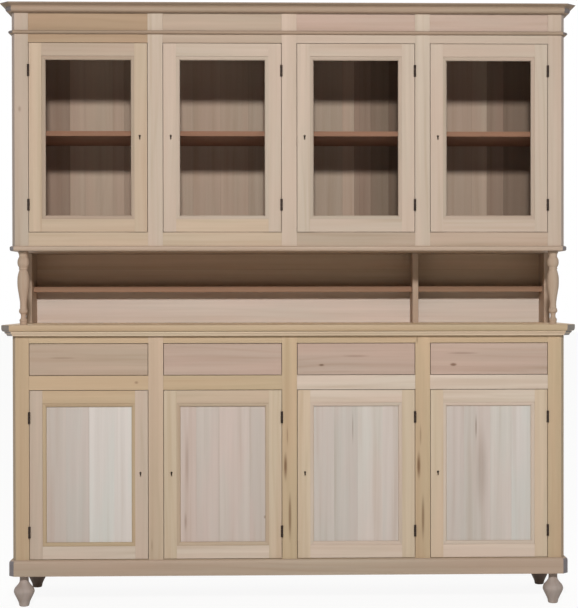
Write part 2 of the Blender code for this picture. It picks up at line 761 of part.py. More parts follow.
def drawer(bay):
    """A drawer front on a box of two sides, a back and a bottom."""
    name = f"drawer_{bay + 1}"
    left, right = bay_left(bay) + DRAWER_GAP, bay_right(bay) - DRAWER_GAP
    low, high = DRAWER_SILL + DRAWER_GAP, BASE_HEAD - DRAWER_GAP
    slide = pivot(f"{name}_slide", ((left + right) / 2, FRONT, low))
    face = Shapes()
    face.box((left, right), (FRONT, FRONT + DRAWER_FRONT), (low, high))
    face.part(f"{name}_front", DRAWER_WOOD, slide.location, slide)

    block = Shapes()
    deep = (FRONT + DRAWER_FRONT + SEAT_GAP, DRAWER_REAR)
    top = low + DRAWER_SIDE_HEIGHT
    block.box((left, right), deep, (low, top))
    box = block.part(f"{name}_box", INNER_WOOD, slide.location, slide)
    hollow = Shapes()
    inside = (left + DRAWER_SIDE, right - DRAWER_SIDE)
    cut = (FRONT, deep[1] - DRAWER_SIDE)
    hollow.box(inside, cut, (low + DRAWER_BOTTOM, high))
    combine(box, "DIFFERENCE", hollow.cutter(f"{name}_hollow", slide))


def build():
    fixed_leaf, moving_leaf = hinge_meshes()
    feet()
    floor_top = base_floor()
    base_top = BASE_TOP - SEAT_GAP
    base_rails = (
        (FOOT_HEIGHT, LOWER_SILL, RAIL_SETBACK),
        (MID_RAIL, DRAWER_SILL, RAIL_SETBACK),
        (BASE_HEAD, base_top, RAIL_SETBACK),
    )
    face_frame("base_frame", FOOT_HEIGHT, base_top, base_rails, LOWER_SILL, LOWER_OPENING, fixed_leaf)
    base_boards(floor_top)
    back_panel("base_back", FOOT_HEIGHT, base_top)
    worktop()

    balusters()
    niche_shelf()

    hutch_low, hutch_high = HUTCH_FRAME + SEAT_GAP, HUTCH_TOP - SEAT_GAP
    hutch_rails = (
        (hutch_low, UPPER_SILL, RAIL_SETBACK),
        (UPPER_HEAD, FRIEZE, RAIL_SETBACK),
        (FRIEZE - GLUE_DEPTH, hutch_high, FRIEZE_SETBACK),
    )
    face_frame("hutch_frame", hutch_low, hutch_high, hutch_rails, UPPER_SILL, UPPER_OPENING, fixed_leaf)
    hutch_boards()
    back_panel("hutch_back", WORKTOP + SEAT_GAP, hutch_high)
    cornice()
    outer_mouldings()

    glass = (GLASS_THICKNESS, GLASS, "glass")
    panel = (PANEL_THICKNESS, PANEL_WOOD, "panel")
    for bay in range(BAYS):
        drawer(bay)
        door(f"lower_door_{bay + 1}", bay, LOWER_SILL, LOWER_OPENING, panel, moving_leaf)
        door(f"upper_door_{bay + 1}", bay, UPPER_SILL, UPPER_OPENING, glass, moving_leaf)


build()
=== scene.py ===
"""A china cabinet in raw wood: its joinery, mouldings, turned work, glazing and ironwork.

Lengths are in metres. The front faces -Y and the floor is at z = 0.
"""

import math
import random

import bmesh
import bpy
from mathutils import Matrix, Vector
from mathutils.geometry import tessellate_polygon


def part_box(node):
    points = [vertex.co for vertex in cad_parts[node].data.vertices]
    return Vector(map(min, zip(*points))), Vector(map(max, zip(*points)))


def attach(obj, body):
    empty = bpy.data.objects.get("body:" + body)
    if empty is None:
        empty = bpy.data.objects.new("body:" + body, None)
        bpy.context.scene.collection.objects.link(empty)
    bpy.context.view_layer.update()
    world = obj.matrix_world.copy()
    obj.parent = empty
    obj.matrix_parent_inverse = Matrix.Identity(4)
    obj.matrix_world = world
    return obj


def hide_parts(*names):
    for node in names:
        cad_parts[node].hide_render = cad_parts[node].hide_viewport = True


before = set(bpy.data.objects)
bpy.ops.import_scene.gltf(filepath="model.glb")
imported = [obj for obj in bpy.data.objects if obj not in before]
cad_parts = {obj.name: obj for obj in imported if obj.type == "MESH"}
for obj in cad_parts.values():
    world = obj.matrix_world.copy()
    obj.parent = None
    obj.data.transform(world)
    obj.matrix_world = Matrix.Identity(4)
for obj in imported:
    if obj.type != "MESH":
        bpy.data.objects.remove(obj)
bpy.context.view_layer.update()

# Between pieces that only touch, between boards glued edge to edge, and from an edge to what is glued near it
GAP = 0.0003
SEAM = 0.00005
INSET = 0.001

# Hinges: a pin's distance before the front, its barrel, the leaves' reach into the gap, and a leaf's two faces
PIN_STANDOFF = 0.0048
BARREL_RADIUS = 0.0045
LEAF_REACH = 0.0152
STRAP_REACH = 0.0013
LEAF_FACES = (0.00015, 0.00095)
KNUCKLE_PLAY = 0.00015
HINGE_HEIGHT = 0.042
HINGE_INSET = 0.100

# Layout across the front and in depth
BAYS = 4
BAY_WIDTH = 0.430
POST_WIDTH = 0.054
CORNER_STILE_WIDTH = 0.060
CORNER_CHAMFER = 0.011
FRAME_THICKNESS = 0.024
RAIL_SETBACK = 0.001
FRIEZE_SETBACK = 0.003
SIDE_THICKNESS = 0.020
BOARD_THICKNESS = 0.018
HALF_WIDTH = (BAYS * BAY_WIDTH + (BAYS - 1) * POST_WIDTH) / 2 + CORNER_STILE_WIDTH
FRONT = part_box("base_frame")[0].y + BARREL_RADIUS + PIN_STANDOFF
FRAME_BACK = FRONT + FRAME_THICKNESS
INNER_FRONT = FRAME_BACK + GAP
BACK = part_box("base_back")[1].y
BACK_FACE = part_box("base_back")[0].y
INNER_BACK = BACK_FACE - GAP
SIDE_FACE = HALF_WIDTH - SIDE_THICKNESS

# Heights of the parts, from the floor up
FOOT_TOP = 0.115
BASE_BOTTOM_RAIL = 0.058
LOWER_OPENING = 0.614
BASE_MID_RAIL = 0.052
DRAWER_OPENING = 0.117
BASE_TOP_RAIL = 0.043
WORKTOP_THICKNESS = 0.024
NICHE_HEIGHT = 0.267
HUTCH_BOTTOM_BOARD = 0.018
HUTCH_BOTTOM_RAIL = 0.049
UPPER_OPENING = 0.685
HUTCH_TOP_RAIL = 0.037
FRIEZE_HEIGHT = 0.082
TOP_BOARD = 0.020

# Levels above the floor
LOWER_SILL = FOOT_TOP + BASE_BOTTOM_RAIL
MID_RAIL = LOWER_SILL + LOWER_OPENING
DRAWER_SILL = MID_RAIL + BASE_MID_RAIL
BASE_HEAD = DRAWER_SILL + DRAWER_OPENING
BASE_TOP = BASE_HEAD + BASE_TOP_RAIL
WORKTOP = BASE_TOP + WORKTOP_THICKNESS
HUTCH = WORKTOP + NICHE_HEIGHT
HUTCH_FRAME = HUTCH + HUTCH_BOTTOM_BOARD
UPPER_SILL = HUTCH_FRAME + HUTCH_BOTTOM_RAIL
UPPER_HEAD = UPPER_SILL + UPPER_OPENING
FRIEZE = UPPER_HEAD + HUTCH_TOP_RAIL
HUTCH_TOP = FRIEZE + FRIEZE_HEIGHT
TOTAL_HEIGHT = HUTCH_TOP + TOP_BOARD

# Doors, their panes and stops
DOOR_GAP = 0.002
MEMBER = 0.046
BEAD_WIDTH = 0.0135
SIGHT = MEMBER + BEAD_WIDTH
PANE_RECESS = 0.012
PANEL_THICKNESS = 0.006
PANEL_LAP = 0.0077
GLASS_THICKNESS = 0.004
STRIP_BACK = 0.0235
STOP_FROM, STOP_TO = 0.060, 0.120
STOP_THICKNESS = 0.016
STOP_HEIGHT = 0.040
STOP_OVERLAP = 0.015
STOP_TONGUE = 0.0015

# Locks
KEYHOLE_INSET = 0.027
KEYHOLE_DROP = 0.013
KEYHOLE_RADIUS = 0.004
KEYHOLE_SLOT = 0.0025
KEYHOLE_STEPS = 16
LOCK_EDGE = 0.003
LOCK_WIDTH = 0.040
LOCK_HEIGHT = 0.060
LOCK_THICKNESS = 0.012
BOLT_CLEARANCE = 0.0005

# Drawers and what carries them
DRAWER_FRONT = 0.020
DRAWER_SIDE = 0.012
DRAWER_BOX_HEIGHT = 0.108
DRAWER_BOTTOM = 0.006
RUNNER = 0.020
RUNNER_LEDGE = 0.006

# Shelves, floors, niche and corner blocks
FLOOR_DROP = 0.002
BASE_FLOOR = 0.020
CORNER_BLOCK = 0.060
NICHE_SUPPORT = 0.022
NICHE_SHELF_LEVEL = 0.140
NICHE_SHELF_DEPTH = 0.075
NICHE_SHELF_THICKNESS = 0.021
HUTCH_SHELF_LEVEL = 0.372
HUTCH_SHELF_SETBACK = 0.055


def tone(red, green, blue):
    """A colour as it is seen, 0 to 255, turned into the light it holds."""
    return tuple(((c / 255 + 0.055) / 1.055) ** 2.4 for c in (red, green, blue))


class Reading:
    """A value that varies over a surface, used in plain arithmetic."""

    def __init__(self, nodes, socket):
        self.nodes = nodes
        self.socket = socket

    def __add__(self, other):
        return self.nodes.maths("ADD", self, other)

    def __radd__(self, other):
        return self.nodes.maths("ADD", other, self)

    def __sub__(self, other):
        return self.nodes.maths("SUBTRACT", self, other)

    def __rsub__(self, other):
        return self.nodes.maths("SUBTRACT", other, self)

    def __mul__(self, other):
        return self.nodes.maths("MULTIPLY", self, other)

    def __truediv__(self, other):
        return self.nodes.maths("DIVIDE", self, other)

    def __pow__(self, other):
        return self.nodes.maths("POWER", self, other)


class Nodes:
    """A tree of nodes that works out how a surface or the surround looks."""

    def __init__(self, tree):
        self.tree = tree

    def node(self, kind, settings, sockets, output=0):
        made = self.tree.nodes.new("ShaderNode" + kind)
        for setting, value in settings.items():
            setattr(made, setting, value)
        for socket, value in sockets.items():
            self.feed(made.inputs[socket], value)
        return Reading(self, made.outputs[output])

    def feed(self, socket, value):
        if isinstance(value, Reading):
            self.tree.links.new(value.socket, socket)
        else:
            socket.default_value = value

    def maths(self, operation, first, second=0.0):
        return self.node("Math", {"operation": operation}, {0: first, 1: second})

    def mix(self, first, second, share, blend="MIX"):
        """One colour laid over another, by a share from 0 to 1."""
        settings = {"data_type": "RGBA", "blend_type": blend}
        return self.node("Mix", settings, {0: share, 6: first, 7: second}, 2)

    def smooth(self, value, low, high):
        """Rises softly from 0 at low to 1 at high."""
        settings = {"interpolation_type": "SMOOTHSTEP"}
        return self.node("MapRange", settings, {"Value": value, "From Min": low, "From Max": high})

    def noise(self, place, scales, detail, roughness):
        """Noise about 0.5, stretched by its own scale in each direction."""
        x, y, z = (axis * scale for axis, scale in zip(place, scales))
        vector = self.node("CombineXYZ", {}, {0: x, 1: y, 2: z})
        sockets = {"Vector": vector, "Scale": 1.0, "Detail": detail, "Roughness": roughness}
        return self.node("TexNoise", {}, sockets)

    def split(self, vector):
        return [self.node("SeparateXYZ", {}, {0: vector}, axis) for axis in range(3)]


class Finish(Nodes):
    """A surface: its shader's constants, and the nodes that vary it."""

    def __init__(self, name, slot, **constants):
        self.material = bpy.data.materials.new(name)
        self.material.use_nodes = True
        super().__init__(self.material.node_tree)
        self.slot = slot
        self.shader = self.tree.nodes["Principled BSDF"]
        for socket, value in constants.items():
            self.shader.inputs[socket.replace("_", " ")].default_value = value

    def bump(self, height, distance):
        made = self.node("Bump", {}, {"Strength": 1.0, "Distance": distance, "Height": height})
        self.feed(self.shader.inputs["Normal"], made)


def wood(
    name, slot, streaks=0.5, rings=0.3, mottle=0.5, staves=None, knots=(), roughness=0.6, canted_shade=0.0, crown=1.0
):
    """Raw wood. Its grain and colour come from the board, its knots from their place on the front.

    Streaks, rings and mottle are shares, staves the width of the strips that a board is glued up from,
    canted_shade how much darker and greyer the canted corners are painted, a painted shade,
    crown how much paler the surfaces that face up are painted, a painted highlight,
    and a knot is (x, z, half its width, half its height, how dark).
    """
    finish = Finish(name, slot, Specular_IOR_Level=0.2)
    grain = finish.node("Attribute", {"attribute_name": "grain"}, {}, "Vector")
    colour = finish.node("Attribute", {"attribute_name": "tone"}, {}, "Color")
    along, across, through = finish.split(grain)
    seam = 0.0
    if staves:
        place = across / staves
        stave = finish.maths("FLOOR", place)
        chance = finish.node("TexWhiteNoise", {"noise_dimensions": "1D"}, {"W": stave}, "Value")
        inside = finish.maths("FRACT", place)
        nearest = finish.maths("MINIMUM", inside, 1 - inside) * staves
        seam = 1 - finish.smooth(nearest, 0.0001, 0.0009)
        along = along + chance * 6
        through = through + chance * 2
        shade = 0.93 + chance * 0.14
        shades = finish.node("CombineColor", {}, {0: shade, 1: shade, 2: shade * 0.97 + 0.03})
        colour = finish.mix(colour, shades, 1.0, "MULTIPLY")

    position = (along, across, through)
    fibre = finish.noise(position, (9, 620, 620), 3.0, 0.65)
    vein = finish.noise(position, (1.6, 120, 120), 3.0, 0.6)
    streak = finish.noise(position, (0.9, 34, 34), 3.0, 0.55)
    drift = finish.noise(position, (0.9, 5, 5), 2.0, 0.5)
    patch = finish.noise(position, (1.3, 8, 8), 3.0, 0.55)
    ring = finish.maths("SINE", across * 230 + through * 170 + drift * 30) * 0.5 + 0.5
    late = ring**3

    warm = finish.mix(colour, (1.03, 0.985, 0.965, 1), 1.0, "MULTIPLY")
    straw = finish.mix(colour, (0.985, 1.005, 0.985, 1), 1.0, "MULTIPLY")
    shown = finish.mix(warm, straw, finish.smooth(patch, 0.5 - mottle * 0.35, 0.5 + mottle * 0.35))
    dark = finish.mix(shown, (0.83, 0.77, 0.71, 1), 1.0, "MULTIPLY")
    lines = finish.smooth(streak, 0.48, 0.75) * streaks + late * rings * finish.smooth(patch, 0.35, 0.7)
    lines = lines + finish.smooth(vein, 0.52, 0.8) * 0.25 + finish.smooth(fibre, 0.55, 0.8) * 0.12
    shown = finish.mix(shown, dark, finish.maths("MINIMUM", lines, 1.0))
    pale = finish.mix(shown, (1.06, 1.06, 1.065, 1), 1.0, "MULTIPLY")
    shown = finish.mix(shown, pale, finish.smooth(streak, 0.5, 0.3))
    if staves:
        shown = finish.mix(shown, (0.10, 0.065, 0.04, 1), seam * 0.3)

    if knots:
        x, _, z = finish.split(finish.node("TexCoord", {}, {}, "Object"))
        wander = (streak - 0.5) * 0.9 + (drift - 0.5) * 1.2
        for centre_x, centre_z, half_width, half_height, depth in knots:
            aside = (x - centre_x) / half_width
            above = (z - centre_z) / half_height
            distance = finish.maths("SQRT", aside * aside + above * above) + wander
            stain = finish.mix(shown, (0.40, 0.31, 0.25, 1), 1.0, "MULTIPLY")
            shown = finish.mix(shown, stain, (1 - finish.smooth(distance, 0.25, 1.2)) * depth)

    # Painted highlight: surfaces that face up are made paler by the share crown
    if crown != 1.0:
        _, _, upwards = finish.split(finish.node("TexCoord", {}, {}, "Normal"))
        painted_top_light = finish.mix(shown, (crown, crown, crown, 1), 1.0, "MULTIPLY")
        shown = finish.mix(shown, painted_top_light, finish.smooth(upwards, 0.9, 0.98))
    # Painted shade: the canted corners, which turn away from the front, are darkened and greyed
    if canted_shade:
        sideways, forwards, _ = finish.split(finish.node("TexCoord", {}, {}, "Normal"))
        canted = finish.smooth(finish.maths("ABSOLUTE", sideways) * forwards * -1, 0.16, 0.36)
        ends = finish.mix(shown, (0.50, 0.60, 0.82, 1), 1.0, "MULTIPLY")
        shown = finish.mix(shown, ends, canted * canted_shade)

    finish.feed(finish.shader.inputs["Base Color"], shown)
    finish.feed(finish.shader.inputs["Roughness"], roughness + (fibre - 0.5) * 0.2)
    finish.bump(fibre * 0.5 + late * 0.25 - seam, 0.0003)
    return finish


def iron():
    """Dark iron with a dull, slightly rubbed skin."""
    finish = Finish("dark_iron", "iron")
    place = finish.split(finish.node("TexCoord", {}, {}, "Object"))
    rubbed = finish.noise(place, (160, 160, 160), 3.0, 0.6)
    pitted = finish.noise(place, (900, 900, 900), 2.0, 0.5)
    colour = finish.mix(tone(44, 33, 27) + (1,), tone(86, 66, 52) + (1,), finish.smooth(rubbed, 0.5, 0.8))
    finish.feed(finish.shader.inputs["Base Color"], colour)
    finish.feed(finish.shader.inputs["Metallic"], 0.55 + finish.smooth(rubbed, 0.45, 0.75) * 0.35)
    finish.feed(finish.shader.inputs["Roughness"], 0.62 - finish.smooth(rubbed, 0.5, 0.8) * 0.2)
    finish.bump(pitted, 0.0002)
    return finish


def clear_glass():
    """A clear pane: light passes straight through, and what it turns back grows towards its edge-on view."""
    finish = Finish("clear_glass", "glass", Metallic=1.0, Roughness=0.02)
    finish.shader.inputs["Base Color"].default_value = (1, 1, 1, 1)
    clear = finish.node("BsdfTransparent", {}, {"Color": (0.955, 0.975, 0.968, 1)})
    facing = finish.node("LayerWeight", {}, {"Blend": 0.5}, "Facing")
    share = facing**5 * 0.9 + 0.0006
    mirror = Reading(finish, finish.shader.outputs[0])
    pane = finish.node("MixShader", {}, {0: share, 1: clear, 2: mirror})
    output = finish.tree.nodes["Material Output"]
    finish.feed(output.inputs["Surface"], pane)
    return finish


# Knots and stained streaks on the front, as (x, z, half width, half height, how dark)
FRAME_KNOTS = (
    (-0.0150, 0.5100, 0.0085, 0.060, 1.00),
    (-0.0080, 0.6200, 0.0040, 0.050, 0.55),
    (0.0010, 0.3300, 0.0060, 0.085, 0.75),
    (0.4690, 0.5100, 0.0085, 0.058, 1.00),
    (0.4760, 0.6200, 0.0040, 0.045, 0.50),
    (0.4850, 0.3200, 0.0060, 0.085, 0.75),
    (0.4640, 0.9680, 0.0050, 0.020, 0.60),
    (-0.9720, 1.8020, 0.0080, 0.014, 0.45),
    (-0.5540, 0.8140, 0.0080, 0.006, 0.55),
    (-0.4990, 0.2230, 0.0040, 0.030, 0.30),
)
DRAWER_KNOTS = (
    (0.1160, 0.8760, 0.0130, 0.0055, 0.95),
    (0.2400, 0.9080, 0.0500, 0.0040, 0.35),
    (0.5960, 0.8760, 0.0120, 0.0060, 0.90),
    (0.6300, 0.9180, 0.0600, 0.0040, 0.40),
    (-0.8200, 0.9030, 0.0500, 0.0040, 0.30),
)
PANEL_KNOTS = (
    (-0.0870, 0.3230, 0.0080, 0.0080, 0.80),
    (-0.3720, 0.5280, 0.0100, 0.1600, 0.35),
    (-0.3780, 0.3080, 0.0080, 0.0500, 0.45),
    (0.2300, 0.6480, 0.0030, 0.0700, 0.50),
    (0.6800, 0.6480, 0.0040, 0.0500, 0.60),
    (0.7000, 0.5080, 0.0200, 0.1500, 0.25),
)

DOOR_WOOD = wood("door_boards", "frame_wood")
# The frame's and the mouldings' canted corners carry painted shade, darker and greyer
FRAME_WOOD = wood("frame_boards", "frame_wood", knots=FRAME_KNOTS, canted_shade=0.4)
MOULDING_WOOD = wood("moulding_lengths", "frame_wood", canted_shade=1.0)
SIDE_WOOD = wood("glued_side_boards", "side_wood", staves=0.094)
# The worktop, the hutch's bottom board and the top board are painted paler where they face up, a painted
# highlight
TOP_WOOD = wood(
    "glued_worktop_boards", "frame_wood", staves=0.085, streaks=0.4, roughness=0.45, canted_shade=1.0, crown=1.6
)
PANEL_WOOD = wood("pale_panel_boards", "panel_wood", streaks=0.6, rings=0.0, mottle=0.3, knots=PANEL_KNOTS)
DRAWER_WOOD = wood("drawer_front_boards", "drawer_wood", rings=0.45, knots=DRAWER_KNOTS)
TURNED_WOOD = wood("turned_wood", "turned_wood", roughness=0.66)
INNER_WOOD = wood("inside_boards", "inner_wood", staves=0.108, streaks=0.45, rings=0.2, roughness=0.68)
IRON = iron()
GLASS = clear_glass()

# The woods, as they look in plain light
BROWN = tone(167, 142, 118)
FLAX = tone(176, 158, 142)
SAND = tone(186, 165, 138)
OAT = tone(188, 169, 149)
MILK = tone(184, 168, 154)
LINEN = tone(189, 173, 159)
WHEAT = tone(199, 181, 160)
CHALK = tone(205, 190, 177)
ROSE = tone(180, 159, 147)

# Where each wood is used; what differs between the bays runs from the left one to the right one
STILE = MILK
HUTCH_POSTS = (LINEN, LINEN, LINEN)
FRIEZE_TONES = (BROWN, FLAX, ROSE, ROSE)
TOP_RAILS = (BROWN, FLAX, MILK, MILK)
HUTCH_RAILS = (OAT, OAT, FLAX, FLAX)
BASE_STILE = SAND
BASE_POSTS = (OAT, SAND, SAND)
BASE_RAIL = SAND
MID_RAILS = (SAND, SAND, CHALK, CHALK)
DRAWERS = (FLAX, ROSE, ROSE, ROSE)
CORNICE = tone(159, 140, 123)
BEAD = CORNICE
WORKTOP_TONE = SAND
APRON = tone(209, 191, 169)
HUTCH_BOTTOM = FLAX
PLINTH = FLAX
FOOT = tone(173, 160, 155)
# The rear feet are painted darker than the front ones, painted shade under the cabinet
SHADED_REAR_FOOT = tone(128, 114, 106)
BALUSTER = tone(178, 157, 140)
SIDE = SAND
# The niche shelf is darker, partly its own reddish tone and partly painted shade from the hutch above
NICHE_SHELF = tone(138, 108, 88)
INSIDE = tone(170, 139, 115)
INSIDE_SHELF = tone(156, 112, 92)
BACK_BOARDS = tone(182, 160, 137)
DRAWER_BOX = OAT

# A door's stiles, its bottom rail and its top rail
UPPER_DOORS = ((OAT, OAT, FLAX), (LINEN, OAT, LINEN), (LINEN, LINEN, MILK), (LINEN, LINEN, MILK))
LOWER_DOORS = ((LINEN, CHALK, SAND), (WHEAT, CHALK, OAT), (WHEAT, CHALK, CHALK), (WHEAT, CHALK, CHALK))

# The boards of the lower doors' panels
ROSY = tone(193, 181, 175)
GREY = tone(194, 186, 181)
PALE = tone(199, 192, 187)
WHITE = tone(204, 201, 198)
PANELS = (
    (ROSY, GREY, WHITE, WHITE),
    (ROSY, ROSY, ROSY, ROSY),
    (GREY, GREY, PALE, PALE),
    (GREY, GREY, PALE, WHITE),
)
# Where a panel changes board, as shares of its width
PANEL_SHARES = ((0.24, 0.50, 0.78), (0.20, 0.46, 0.80), (0.25, 0.52, 0.80), (0.22, 0.52, 0.76))

# The boards inside the hutch's back, each with its right edge, and those behind the niche, each with its top
# Apart from LIGHT, the darker tones are painted shade laid on boards whose own tones differ: by the sides and
# partitions, deepest over the right of the two right-hand bays
LIGHT = tone(190, 164, 150)
HALF_SHADED_BOARD = tone(175, 149, 135)
SHADED_BOARD = tone(160, 134, 121)
DEEP_SHADED_BOARD = tone(142, 119, 106)
DEEPEST_SHADED_BOARD = tone(120, 97, 85)
HUTCH_BACK = (
    (-0.850, SHADED_BOARD),
    (-0.640, LIGHT),
    (-0.480, HALF_SHADED_BOARD),
    (-0.100, LIGHT),
    (0.050, HALF_SHADED_BOARD),
    (0.255, LIGHT),
    (0.320, SHADED_BOARD),
    (0.390, DEEP_SHADED_BOARD),
    (0.500, DEEPEST_SHADED_BOARD),
    (0.775, LIGHT),
    (0.840, SHADED_BOARD),
    (SIDE_FACE - GAP, DEEP_SHADED_BOARD),
)
# Behind the niche the upper board is darker and warmer than the lower one, painted shade under the hutch
NICHE_BACK = ((WORKTOP + 0.130, tone(199, 187, 179)), (HUTCH, tone(192, 166, 142)))

# Ironwork has one colour of its own and takes none from its boards
NO_TONE = (0, 0, 0)

AXES = {"x": Vector((1, 0, 0)), "y": Vector((0, 1, 0)), "z": Vector((0, 0, 1))}


def span(first, second):
    return min(first, second), max(first, second)


def about(middle, size):
    return middle - size / 2, middle + size / 2


def bay_left(bay):
    return -HALF_WIDTH + CORNER_STILE_WIDTH + bay * (BAY_WIDTH + POST_WIDTH)


def bay_right(bay):
    return bay_left(bay) + BAY_WIDTH


def post_centre(post):
    return bay_right(post) + POST_WIDTH / 2


def hinge_side(bay):
    """The first door hangs on the left, the others on the right: (hinge edge, free edge, direction)."""
    if bay == 0:
        return bay_left(bay), bay_right(bay), 1
    return bay_right(bay), bay_left(bay), -1


def curve(a, b, c, d, t):
    """A value on its way from b to c, smooth with what lies before and after them."""
    square = (2 * a - 5 * b + 4 * c - d) * t * t
    cube = (3 * b - a - 3 * c + d) * t**3
    return 0.5 * (2 * b + (c - a) * t + square + cube)


def flowing(points, steps):
    """A smooth line through points, for a turned profile."""
    line = []
    ends = [points[0], *points, points[-1]]
    for before, start, end, after in zip(ends, ends[1:], ends[2:], ends[3:]):
        for step in range(steps):
            line.append(tuple(curve(a, b, c, d, step / steps) for a, b, c, d in zip(before, start, end, after)))
    return [*line, points[-1]]


def quarter(centre, radii, start, end, steps):
    """A stretch of an ellipse, between two angles in degrees."""
    angles = [math.radians(start + (end - start) * step / steps) for step in range(steps + 1)]
    return [(centre[0] + radii[0] * math.cos(a), centre[1] + radii[1] * math.sin(a)) for a in angles]


def around(level):
    """Lays a moulding round the cabinet, its profile measured up from a level."""
    return lambda flat, up: (flat.x, flat.y, level + up)


def in_front(flat, deep):
    """Lays a moulding upright, its profile measured back from the front."""
    return flat.x, FRONT + deep, flat.y


def mitred(path, profile, place, closed=False):
    """A moulding's section at each corner of a path. A profile point is (out to the path's right, across)."""
    corners = [Vector(point) for point in path]
    ways = [(end - start).normalized() for start, end in zip(corners, corners[1:] + corners[:1])]
    sides = [Vector((way.y, -way.x)) for way in ways]
    sections = []
    for index, corner in enumerate(corners):
        before, after = sides[index - 1], sides[index]
        if not closed and index == 0:
            before = after
        if not closed and index == len(corners) - 1:
            after = before
        mitre = (before + after) / (1 + before.dot(after))
        sections.append([Vector(place(corner + out * mitre, over)) for out, over in profile])
    return sections


def body_outline(offset, rear=BACK):
    """The cabinet's outline in plan, grown by an offset at the front and the sides."""
    across = HALF_WIDTH + offset
    corner = math.tan(math.pi / 8) * offset
    front = HALF_WIDTH - CORNER_CHAMFER + corner
    side = FRONT + CORNER_CHAMFER - corner
    return [
        (-across, rear),
        (-across, side),
        (-front, FRONT - offset),
        (front, FRONT - offset),
        (across, side),
        (across, rear),
    ]


class Piece:
    """Boards, mouldings and turned work gathered into one piece, each with its own grain and colour."""

    def __init__(self, name, finish, body="cabinet", stands_for=(), ease=0.0008):
        self.name = name
        self.finish = finish
        self.body = body
        self.stands_for = stands_for
        self.ease = ease
        self.mesh = bmesh.new()
        self.grain = self.mesh.verts.layers.float_vector.new("grain")
        self.tone = self.mesh.verts.layers.float_vector.new("tone")
        self.chance = random.Random(name)

    def dress(self, verts, along, across, colour):
        """Lays the grain from a place of its own in the plank."""
        shift = Vector([self.chance.uniform(-9, 9) for _ in range(3)])
        through = along.cross(across)
        shade = self.chance.uniform(0.97, 1.03)
        for vert in verts:
            spot = vert.co
            vert[self.grain] = Vector((spot.dot(along), spot.dot(across), spot.dot(through))) + shift
            vert[self.tone] = Vector(colour) * shade

    def loft(self, sections, along, across, colour):
        """Joins sections of as many points each, and caps both ends."""
        loops = [[self.mesh.verts.new(point) for point in section] for section in sections]
        count = len(loops[0])
        for low, high in zip(loops, loops[1:]):
            for index in range(count):
                after = (index + 1) % count
                self.mesh.faces.new((low[index], low[after], high[after], high[index]))
        self.mesh.faces.new(loops[0])
        self.mesh.faces.new(loops[-1])
        self.dress([vert for loop in loops for vert in loop], along, across, colour)

    def board(self, x, y, z, grain, colour):
        """A board between limits, its grain along the first of two axes and its width along the second."""
        self.upright(((x[0], y[0]), (x[1], y[0]), (x[1], y[1]), (x[0], y[1])), z, colour, grain)

    def upright(self, outline, z, colour, grain="zx"):
        """A board of any outline in plan, between two heights."""
        ends = [[(*point, height) for point in outline] for height in z]
        self.loft(ends, AXES[grain[0]], AXES[grain[1]], colour)

    def slab(self, nose, level, colour, rear=BACK):
        """A flat board with the cabinet's outline. Its edge is (how far out, height over a level)."""
        sections = [[(*point, level + up) for point in body_outline(out, rear)] for out, up in nose]
        self.loft(sections, AXES["x"], AXES["y"], colour)

    def pierced(self, x, y, z, hole, colour):
        """An upright board with a hole through it, given as points across and up."""
        outer = [(x[0], z[0]), (x[1], z[0]), (x[1], z[1]), (x[0], z[1])]
        points = outer + hole
        fills = tessellate_polygon([[Vector((px, pz, 0)) for px, pz in loop] for loop in (outer, hole)])
        front, back = ([self.mesh.verts.new((px, py, pz)) for px, pz in points] for py in y)
        for fill in fills:
            self.mesh.faces.new([front[index] for index in fill])
            self.mesh.faces.new([back[index] for index in reversed(fill)])
        for start, count in ((0, len(outer)), (len(outer), len(hole))):
            for index in range(count):
                a, b = start + index, start + (index + 1) % count
                self.mesh.faces.new((front[a], front[b], back[b], back[a]))
        self.dress(front + back, AXES["z"], AXES["x"], colour)

    def moulding(self, path, profile, place, colour, closed=False):
        """A moulding along a path, in lengths that meet in mitres."""
        sections = mitred(path, profile, place, closed)
        following = sections[1:] + sections[:1] if closed else sections[1:]
        for start, end in zip(sections, following):
            along = max((b - a for a, b in zip(start, end)), key=lambda way: way.length).normalized()
            across = Vector((0, 0, 1)) if abs(along.z) < 0.5 else Vector((1, 0, 0))
            self.loft([start, end], along, across, colour)

    def turning(self, centre, profile, colour, sides=40):
        """A turned piece: (radius, height) from the bottom up, about an upright axis."""
        angles = [math.tau * side / sides for side in range(sides)]
        x, y, z = centre
        rings = [[(x + r * math.cos(a), y + r * math.sin(a), z + up) for a in angles] for r, up in profile]
        self.loft(rings, AXES["z"], AXES["x"], colour)

    def rod(self, centre, radius, z):
        lip = radius * 0.15
        profile = [(radius - lip, z[0]), (radius, z[0] + lip), (radius, z[1] - lip), (radius - lip, z[1])]
        self.turning(centre, profile, NO_TONE, sides=20)

    def done(self):
        """Turns what was gathered into an object, on its body and in place of its nodes."""
        bmesh.ops.recalc_face_normals(self.mesh, faces=self.mesh.faces)
        data = bpy.data.meshes.new(self.name)
        self.mesh.to_mesh(data)
        self.mesh.free()
        data.shade_smooth()
        data.set_sharp_from_angle(angle=math.radians(32))
        data.materials.append(self.finish.material)
        made = bpy.data.objects.new(self.name, data)
        bpy.context.scene.collection.objects.link(made)
        eased = made.modifiers.new("eased_edges", "BEVEL")
        eased.width = self.ease
        eased.segments = 2
        eased.limit_method = "ANGLE"
        eased.angle_limit = math.radians(35)
        eased.harden_normals = True
        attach(made, self.body)
        if self.stands_for:
            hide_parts(*self.stands_for)


